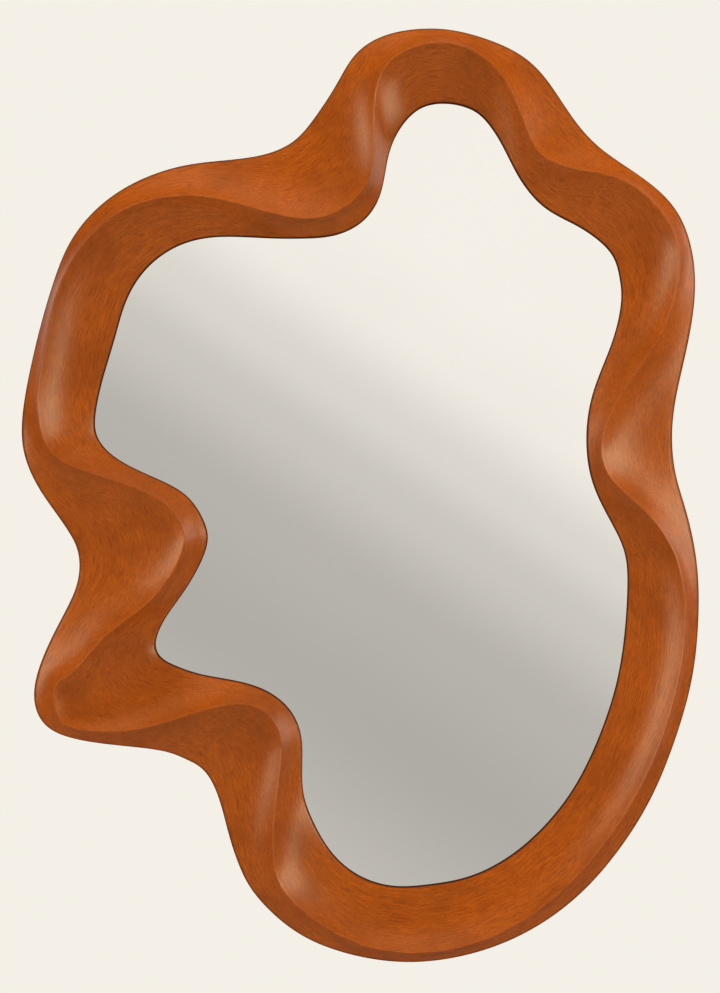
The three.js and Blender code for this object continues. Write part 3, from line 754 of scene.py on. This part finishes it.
def section_normals(points, corners):
    """For each span between two rows, the normals at its two sides. Only corners have two normals."""
    along = np.roll(points, -1, 1) - np.roll(points, 1, 1)
    across = np.roll(points, -1, 0) - points
    at_start = np.cross(across, along)
    at_end = np.cross(across, np.roll(along, -1, 0))
    at_start /= np.maximum(np.linalg.norm(at_start, axis=-1, keepdims=True), TINY)
    at_end /= np.maximum(np.linalg.norm(at_end, axis=-1, keepdims=True), TINY)
    corners = {row % len(points) for row in corners}
    for row in range(len(points)):
        if row not in corners:
            shared = at_end[row - 1] + at_start[row]
            shared /= np.linalg.norm(shared, axis=-1, keepdims=True)
            at_end[row - 1] = at_start[row] = shared
    return at_start, at_end


def grain_angles():
    """The grain's angle at each rib, on its outer and its inner side: the way that the ring runs."""
    ribs = np.arange(len(RIBS))
    runs = [on_rail(k, ribs)[1] for k in (OUTER, RIDGE, INNER)]
    turns = [np.exp(2j * np.arctan2(run[:, 1], run[:, 0])) for run in runs]
    angles = []
    for side in (turns[OUTER] + turns[RIDGE], turns[INNER] + turns[RIDGE]):
        smooth = sum(weight * np.roll(side, shift) for shift, weight in GRAIN_SMOOTHING.items())
        angles.append(np.angle(smooth) / 2)
    return np.stack(angles)


def grain_map(spots, rib, side, angles):
    """Where points lie along and across the grain of one rib, far from every other rib's."""
    angle = angles[side, rib % len(RIBS)]
    along = spots[:, 0] * np.cos(angle) + spots[:, 1] * np.sin(angle)
    across = spots[:, 1] * np.cos(angle) - spots[:, 0] * np.sin(angle)
    along = along + GRAIN_STEP_ALONG * (rib % len(RIBS))
    across = across + GRAIN_STEP_ACROSS * side
    return np.stack([along, across], 1)


def add_layer(mesh, label, domain, values):
    layer = mesh.attributes.new(label, "FLOAT", domain)
    layer.data.foreach_set("value", values.astype(np.float32))


def lay_grain(mesh, spots, places, rib, side, angles):
    """Each face corner's place on the grain of its rib and of the next, and its share of the next."""
    for label, patch in (("grain_here", rib), ("grain_ahead", rib + 1)):
        layer = mesh.uv_layers.new(name=label)
        layer.data.foreach_set("uv", grain_map(spots, patch, side, angles).astype(np.float32).ravel())
    add_layer(mesh, "grain_share", "CORNER", places - rib)


def mark_stain_and_painted_light(mesh, rows, facing, first_front, last_front):
    """Each point's dark edge stain and painted shade, its wear and painted highlight at the ridge, and the
    painted shade in its hollow.
    """
    row = np.tile(np.arange(len(rows)), rows.shape[1])
    depth, from_ridge = rows[..., 2].T.ravel(), rows[..., 3].T.ravel()
    front = (row >= first_front) & (row <= last_front)
    dark = np.where(front, 0.0, BACK_DARKNESS)
    for step, darkness in enumerate(EDGE_DARKNESS):
        dark[(row == first_front + step) | (row == last_front - step)] = darkness
    # Painted shade: the lip's wall by the glass is fully dark
    dark[row == last_front + 1] = 1
    add_layer(mesh, "edge_stain_and_shade", "POINT", dark)
    # Rubbed-off stain and painted highlight along the ridge
    add_layer(mesh, "crest", "POINT", np.where(front, np.exp(-(from_ridge / CREST_MARK_REACH) ** 2), 0.0))
    # Painted shade in the hollows: darker at depths near the ridge where the wood faces the front
    hollow = np.interp(depth, PAINTED_SHADE_DEPTHS, (0, 1, 1, 0)) * np.interp(facing, PAINTED_SHADE_FACING, (0, 1))
    add_layer(mesh, "hollow", "POINT", np.where(front, hollow, 0.0))


def add_frame():
    places = column_places()
    rows, corners = ring_rows(places)
    points = to_metres(rows[..., :2], rows[..., 2])
    at_start, at_end = section_normals(points, corners)
    angles = grain_angles()
    count = len(rows)
    first_front, last_front = 2, count - 4
    side_of_row = (np.arange(count) >= last_front - ROUND_ROWS - SIDE_ROWS).astype(int)
    side_of_row[-1] = 0
    for number, begin in enumerate(JOINTS, 1):
        end = JOINTS[number] if number < len(JOINTS) else len(RIBS)
        columns = np.flatnonzero((places >= begin) & (places < end))
        columns = np.append(columns, (columns[-1] + 1) % len(places))
        where = np.append(places[columns[:-1]], end)
        spans = len(columns) - 1
        i, j = [each.ravel() for each in np.meshgrid(np.arange(spans), np.arange(count), indexing="ij")]
        k = (j + 1) % count
        faces = np.stack([i * count + j, i * count + k, (i + 1) * count + k, (i + 1) * count + j], 1)
        a, b = columns[i], columns[i + 1]
        normals = np.stack([at_start[j, a], at_end[j, a], at_end[j, b], at_start[j, b]], 1)
        caps = [np.arange(count - 1, -1, -1), spans * count + np.arange(count)]
        vertices = points[:, columns].transpose(1, 0, 2).reshape(-1, 3)
        mesh = mesh_of(f"carved_segment_{number}", vertices, [*faces, *caps])
        cap_normals = np.repeat([mesh.polygons[-2].normal, mesh.polygons[-1].normal], count, axis=0)
        normals = np.concatenate([normals.reshape(-1, 3), cap_normals])
        vertex = np.concatenate([faces.ravel(), *caps])
        rib = np.repeat(np.floor(where[i]).astype(int), 4)
        rib = np.concatenate([rib, np.repeat([begin, end - 1], count)])
        side = np.repeat(side_of_row[j], 4)
        side = np.concatenate([side, side_of_row[caps[0]], side_of_row[caps[1] % count]])
        lay_grain(mesh, vertices[vertex][:, [0, 2]], where[vertex // count], rib, side, angles)
        facing = -at_start[:, columns, 1].T.ravel()
        mark_stain_and_painted_light(mesh, rows[:, columns], facing, first_front, last_front)
        mesh.shade_smooth()
        mesh.normals_split_custom_set([tuple(n) for n in normals])
        woods = (POLISHED_WOOD, MATT_WOOD)
        stands_for = f"frame_segment_{number}"
        new_piece(f"carved_segment_{number}", mesh, woods, "frame", stands_for)
        matt = (j < first_front + ROUND_ROWS) | (j >= last_front - ROUND_ROWS)
        mesh.polygons.foreach_set("material_index", np.append(matt, [True, True]).astype(np.int32))


# Panes


def add_panes():
    """The glass, mirror in front and paint behind, and the board. Both reach under the frame's lip."""
    outline = into_wood(np.arange(0, len(RIBS), PANE_STEP), PANE_OVERLAP)[::-1]
    vertices, faces = eased_plate(outline, [], GLASS_BACK, GLASS_FRONT, GLASS_EASE)
    glass = mesh_of("glass_pane", vertices, faces, smooth_angle=20)
    finishes = (MIRROR, BACKING_PAINT, GLASS_EDGE)
    new_piece("glass_pane", glass, finishes, "frame", "mirror_glass")
    for face in glass.polygons:
        face.material_index = 0 if face.normal.y < -0.99 else 1 if face.normal.y > 0.99 else 2
    vertices, faces = eased_plate(outline, [], BOARD_BACK, BOARD_FRONT, BOARD_EASE)
    board = mesh_of("rear_board", vertices, faces, smooth_angle=20)
    new_piece("rear_board", board, HARDBOARD, "frame", "backing_board")


# Hardware on the back


def screw_mesh():
    """A round-headed wood screw with a cross recess. Its thread tapers to the tip."""
    under_head = SHEET_BACK - GAP
    top = under_head - SCREW_HEAD_HEIGHT
    shank_end = under_head + SCREW_SHANK
    thread = []
    for depth in np.arange(shank_end, SCREW_TIP - THREAD_PITCH, THREAD_PITCH):
        for along, share in THREAD_FORM:
            here = depth + along * THREAD_PITCH
            envelope = SCREW_CORE_RADIUS * min(1, (SCREW_TIP - here) / SCREW_TAPER)
            thread.append((envelope * share, here))
    rim = under_head - HEAD_RIM
    crown = [(SCREW_HEAD_RADIUS * math.cos(t), rim - (rim - top) * math.sin(t))
             for t in np.radians(np.linspace(0, 80, 8))]
    profile = [
        (0, SCREW_TIP),
        *reversed(thread),
        (SCREW_CORE_RADIUS, under_head),
        (SCREW_HEAD_RADIUS - HEAD_EASE, under_head),
        (SCREW_HEAD_RADIUS, under_head - HEAD_EASE),
        *crown,
        (0, top),
    ]
    vertices, faces = turned(profile, SCREW_SIDES)
    body = mesh_of("screw", vertices, faces)
    quarter = np.array([
        (RECESS_REACH, -RECESS_HALF_TIP),
        (RECESS_REACH, RECESS_HALF_TIP),
        (RECESS_HALF_ROOT, RECESS_HALF_ROOT),
    ])
    turns = ((1, 0), (0, 1), (-1, 0), (0, -1))
    cross = np.concatenate([quarter @ np.array([[c, s], [-s, c]]) for c, s in turns])
    vertices, faces = eased_plate(cross, [], top - 1, top + RECESS_DEPTH, 0)
    recessed = cut(body, mesh_of("recess", vertices, faces))
    return softened(recessed, RECESS_EASE, sharpest=50, segments=1)


def add_screws(screw, prefix, stands_for, spots):
    for number, spot in enumerate(spots, 1):
        mesh = screw.copy()
        turn = Matrix.Rotation(number * RADIANS_FROM_SCREW_TO_SCREW, 4, "Y")
        mesh.transform(Matrix.Translation((spot[0] * MM, 0, spot[1] * MM)) @ turn)
        name, node_name = f"{prefix}_{number}", f"{stands_for}_{number}"
        new_piece(name, mesh, SCREW_STEEL, "frame", node_name)


def add_buttons(pivots):
    half = BUTTON_WIDTH / 2
    outline = np.concatenate([
        arc(0, 0, BUTTON_SHORT_END, 90, 270, 19),
        arc(BUTTON_LONG_END - half, 0, half, -90, 90, 19),
    ])
    hole = arc(0, 0, SCREW_HOLE_RADIUS, 0, -360, 25)[:-1]
    vertices, faces = eased_plate(outline, [hole], SHEET_BACK, HARDWARE_FRONT, BUTTON_EASE)
    inner = on_rail(INNER, BUTTON_PLACES)[0]
    for number, (pivot, towards) in enumerate(zip(pivots, inner), 1):
        mesh = mesh_of(f"button_plate_{number}", vertices, faces, smooth_angle=40)
        lie = Matrix.Rotation(-math.atan2(towards[1] - pivot[1], towards[0] - pivot[0]), 4, "Y")
        mesh.transform(Matrix.Translation((pivot[0] * MM, 0, pivot[1] * MM)) @ lie)
        body, stands_for = f"button_{number}", f"turn_button_{number}"
        new_piece(f"button_plate_{number}", mesh, ZINC, body, stands_for)


def strap_mesh():
    """A strap folded round the ring's bar, cut to a tongue with two holes, from the bar's middle."""
    half = STRAP_WIDTH / 2
    rear = SHEET_BACK - BAR_DEPTH
    meet = math.degrees(math.asin(rear / LOOP_RADIUS))
    # Pairs are z and depth from the bar: the leaf's rear, round the bar and back along the leaf's front
    section = np.concatenate([
        [(-STRAP_LENGTH, rear)],
        arc(0, 0, LOOP_RADIUS, -180 - meet, 90, 31),
        [(-STRAP_LENGTH, LOOP_RADIUS)],
    ])
    bore = arc(0, 0, LOOP_BORE, 0, -360, 25)[:-1]
    folded = mesh_of("folded", *eased_plate(section, [bore], -half, half, 0))
    folded.transform(Matrix(((0, -1, 0, 0), (0, 0, -1, -BAR_DEPTH * MM), (1, 0, 0, 0), (0, 0, 0, 1))))
    tongue = np.concatenate([
        [(half, 2 * LOOP_RADIUS), (-half, 2 * LOOP_RADIUS)],
        arc(0, half - STRAP_LENGTH, half, 180, 360, 33),
    ])
    strap = cut(folded, mesh_of("tongue", *eased_plate(tongue, [], -1, FRAME_BACK, 0)), "INTERSECT")
    for z in STRAP_HOLES:
        hole = arc(0, z, SCREW_HOLE_RADIUS, 0, 360, 29)[:-1]
        strap = cut(strap, mesh_of("hole", *eased_plate(hole, [], -1, FRAME_BACK + 1, 0)))
    return softened(strap, STRAP_EASE)


def add_hangers():
    strap = strap_mesh()
    ring = ring_mesh()
    for side, x in HANGERS.items():
        mesh = strap.copy()
        mesh.transform(Matrix.Translation((x * MM, 0, HANGER_BAR_Z * MM)))
        new_piece(f"strap_{side}", mesh, ZINC, "frame", f"hanger_strap_{side}")
        mesh = ring.copy()
        mesh.transform(Matrix.Translation((x * MM, -BAR_DEPTH * MM, HANGER_BAR_Z * MM)))
        new_piece(f"wire_ring_{side}", mesh, ZINC, f"ring_{side}", f"d_ring_{side}")


def ring_mesh():
    """The ring's wire, from the middle of its bar: the bar, two corners, two legs and a half circle."""
    straight = RING_HALF_WIDTH - RING_CORNER
    path = np.concatenate([
        np.stack([np.linspace(-straight, straight, 9), np.zeros(9)], 1),
        arc(straight, RING_CORNER, RING_CORNER, -90, 0, 9)[1:],
        arc(0, RING_HALF_WIDTH, RING_HALF_WIDTH, 0, 180, 37),
        arc(-straight, RING_CORNER, RING_CORNER, 180, 270, 9)[:-1],
    ])
    along = np.roll(path, -1, 0) - np.roll(path, 1, 0)
    along /= np.hypot(*along.T)[:, None]
    outward = np.stack([along[:, 1], -along[:, 0]], 1)
    angles = 2 * math.pi * np.arange(WIRE_SIDES) / WIRE_SIDES
    spots = path[:, None] + outward[:, None] * (WIRE_RADIUS * np.cos(angles))[None, :, None]
    rise = np.broadcast_to(WIRE_RADIUS * np.sin(angles), spots.shape[:2])
    vertices = to_metres(spots, rise).reshape(-1, 3)
    faces = []
    for i in range(len(path)):
        here, ahead = i * WIRE_SIDES, (i + 1) % len(path) * WIRE_SIDES
        for k in range(WIRE_SIDES):
            n = (k + 1) % WIRE_SIDES
            faces.append((here + k, ahead + k, ahead + n, here + n))
    mesh = mesh_of("ring", vertices, faces, smooth_angle=60)
    mesh.transform(Matrix.Rotation(RING_LEAN, 4, "X"))
    return mesh


def add_bumpers():
    """Four rubber feet, turned from the frame's back to the wall."""
    front = HARDWARE_FRONT
    foot = BUMPER_FOOT_ROUND
    sole = [(BUMPER_FOOT_RADIUS - foot + foot * math.cos(t), foot - foot * math.sin(t))
            for t in np.radians(np.linspace(0, 90, 6))]
    profile = [
        (0, front),
        (BUMPER_RADIUS - BUMPER_EASE, front),
        (BUMPER_RADIUS, front - BUMPER_EASE),
        (BUMPER_RADIUS, front - BUMPER_RIM),
        BUMPER_NECK,
        *sole,
        *BUMPER_DIMPLE,
    ]
    vertices, faces = turned(profile, BUMPER_SIDES)
    outer = on_rail(OUTER, BUMPER_PLACES)[0]
    rabbet = into_wood(BUMPER_PLACES, RABBET_WIDTH)
    for number, spot in enumerate(outer + (rabbet - outer) * BUMPER_ACROSS, 1):
        mesh = mesh_of(f"rubber_foot_{number}", vertices, faces, smooth_angle=40)
        mesh.transform(Matrix.Translation((spot[0] * MM, 0, spot[1] * MM)))
        new_piece(f"rubber_foot_{number}", mesh, RUBBER, "frame", f"bumper_{number}")


def finish_hidden_parts():
    """Finishes for the solids that stay as they are, inside the frame."""
    for name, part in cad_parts.items():
        if name.startswith("loose_tenon"):
            part.data.materials.clear()
            part.data.materials.append(PALE_WOOD)
        elif name.startswith("setting_block"):
            part.data.materials.clear()
            part.data.materials.append(RUBBER)


# Camera, light and floor

# Metres from here on
CAMERA_DISTANCE = 3.2
CAMERA_HEIGHT = -0.0014
PICTURE_HEIGHT = 1.0790
FLOOR = -1.5
FLOOR_RADIUS = 4
BACKGROUND = (0.905, 0.871, 0.799)
FLOOR_FROM_THE_WOOD = (0.06, 0.058, 0.054)
ROOM_LIGHT = (0.2, 0.197, 0.192)

# What a glossy surface sees of the room in front and behind, and where along y the one becomes the other
ROOM_IN_FRONT = 0.03
ROOM_BEHIND = 0.8
BEHIND_FROM, BEHIND_TO = 0.7, 0.85

# What the mirror sees of the room: levels from one end of the gradient to the other, the direction that
# it runs in, how far it reaches on each side, and its tint
MIRROR_LEVELS = (
    (0.0, 0.56), (0.24, 0.46), (0.40, 0.50), (0.53, 0.63), (0.61, 0.745), (0.73, 0.925), (0.85, 0.96),
)
MIRROR_DIRECTION = (0.55, 0, 0.83)
MIRROR_REACH = 0.12
MIRROR_TINT = (1, 0.9625, 0.88)

# Each softbox's name, place, size and power, and whether glossy surfaces show its reflection
SOFTBOXES = (
    ("top softbox", (0, -1, 3.2), (3, 3), 113, False),
    ("front softbox", (0, -4.1, -1.6), (3, 3), 56, False),
    ("left fill", (-4, -1.5, 0.5), (2, 2), 36, False),
    ("front right softbox", (2.22, -1.28, 0.44), (1.3, 1.6), 30, True),
    ("side right softbox", (2.52, 0.15, 0.66), (1.3, 1.6), 15, True),
    ("front left softbox", (-2.37, -0.96, 0.34), (1.5, 1.2), 20, True),
    ("rear softbox", (0, 2.6, 1.2), (2.6, 1.8), 25, False),
)


def add_camera():
    lens = bpy.data.cameras.new("camera")
    lens.sensor_width = 36
    lens.lens = lens.sensor_width * (CAMERA_DISTANCE - EDGE_FRONT * MM) / PICTURE_HEIGHT
    camera = bpy.data.objects.new("camera", lens)
    camera.location = (0, -CAMERA_DISTANCE, CAMERA_HEIGHT)
    camera.rotation_euler = (math.radians(90), 0, 0)
    bpy.context.scene.collection.objects.link(camera)
    bpy.context.scene.camera = camera


def add_softbox(name, place, size, power, shines):
    """A lamp aimed at the frame. One that doesn't shine gives light but isn't seen in a reflection."""
    lamp = bpy.data.lights.new(name, "AREA")
    lamp.shape = "RECTANGLE"
    lamp.size, lamp.size_y = size
    lamp.energy = power
    holder = bpy.data.objects.new(name, lamp)
    holder.location = place
    holder.rotation_mode = "QUATERNION"
    holder.rotation_quaternion = (-Vector(place)).to_track_quat("-Z", "Z")
    holder.visible_camera = False
    holder.visible_glossy = shines
    bpy.context.scene.collection.objects.link(holder)


def add_world():
    """A pale room. The mirror sees it bright above and grey below. The wood sees it dark in front."""
    world = bpy.data.worlds.new("pale room")
    bpy.context.scene.world = world
    world.use_nodes = True
    world.cycles.sampling_method = "NONE"
    tree = world.node_tree
    tree.nodes.clear()
    out = tree.nodes.new("ShaderNodeOutputWorld")
    rays = tree.nodes.new("ShaderNodeLightPath").outputs
    direction = tree.nodes.new("ShaderNodeTexCoord").outputs["Generated"]
    dot = tree.nodes.new("ShaderNodeVectorMath")
    dot.operation = "DOT_PRODUCT"
    dot.inputs[1].default_value = MIRROR_DIRECTION
    tree.links.new(direction, dot.inputs[0])
    share = node(tree, "ShaderNodeMapRange", From_Min=-MIRROR_REACH, From_Max=MIRROR_REACH)
    tree.links.new(dot.outputs["Value"], share.inputs["Value"])
    ramp = tree.nodes.new("ShaderNodeValToRGB")
    ramp.color_ramp.interpolation = "EASE"
    for number, (place, level) in enumerate(MIRROR_LEVELS):
        stop = ramp.color_ramp.elements[number] if number < 2 else ramp.color_ramp.elements.new(place)
        stop.position = place
        stop.color = (*(level * tint for tint in MIRROR_TINT), 1)
    tree.links.new(share.outputs[0], ramp.inputs[0])
    parts = tree.nodes.new("ShaderNodeSeparateXYZ")
    tree.links.new(direction, parts.inputs[0])
    glossed = node(tree, "ShaderNodeMapRange", From_Min=BEHIND_FROM, From_Max=BEHIND_TO,
                   To_Min=ROOM_IN_FRONT, To_Max=ROOM_BEHIND)
    tree.links.new(parts.outputs["Y"], glossed.inputs["Value"])
    colour = blended(tree, rays["Is Glossy Ray"], ROOM_LIGHT, glossed.outputs["Result"])
    colour = blended(tree, rays["Is Singular Ray"], colour, ramp.outputs[0])
    colour = blended(tree, rays["Is Camera Ray"], colour, BACKGROUND)
    room = tree.nodes.new("ShaderNodeBackground")
    tree.links.new(colour, room.inputs["Color"])
    tree.links.new(room.outputs[0], out.inputs["Surface"])


def add_floor():
    mesh = bpy.data.meshes.new("floor")
    body = bmesh.new()
    bmesh.ops.create_circle(body, cap_ends=True, segments=96, radius=FLOOR_RADIUS)
    body.to_mesh(mesh)
    body.free()
    floor = bpy.data.objects.new("floor", mesh)
    floor.location = (0, 0, FLOOR)
    bpy.context.scene.collection.objects.link(floor)
    material, tree, shader = new_finish("pale floor", Roughness=0.9)
    clouds = use_group(tree, SOFT_MOTTLE, object_point(tree), Patch_Size=0.8, Detail=2)
    pale = blended(tree, clouds["Value"], (0.90, 0.866, 0.795), (0.93, 0.895, 0.82))
    rays = tree.nodes.new("ShaderNodeLightPath").outputs
    colour = blended(tree, rays["Is Glossy Ray"], pale, FLOOR_FROM_THE_WOOD)
    tree.links.new(blended(tree, rays["Is Singular Ray"], colour, pale), shader.inputs["Base Color"])
    mesh.materials.append(material)


add_frame()
add_panes()
screw = screw_mesh()
pivots = into_wood(BUTTON_PLACES, RABBET_WIDTH + PIVOT_FROM_RABBET)
add_buttons(pivots)
add_screws(screw, "pivot_screw", "button_screw", pivots)
strap_holes = [(x, HANGER_BAR_Z + z) for x in HANGERS.values() for z in STRAP_HOLES]
add_screws(screw, "strap_screw", "hanger_screw", strap_holes)
add_hangers()
add_bumpers()
finish_hidden_parts()

add_camera()
add_world()
add_floor()
for softbox in SOFTBOXES:
    add_softbox(*softbox)

bpy.context.scene.view_settings.view_transform = "Standard"
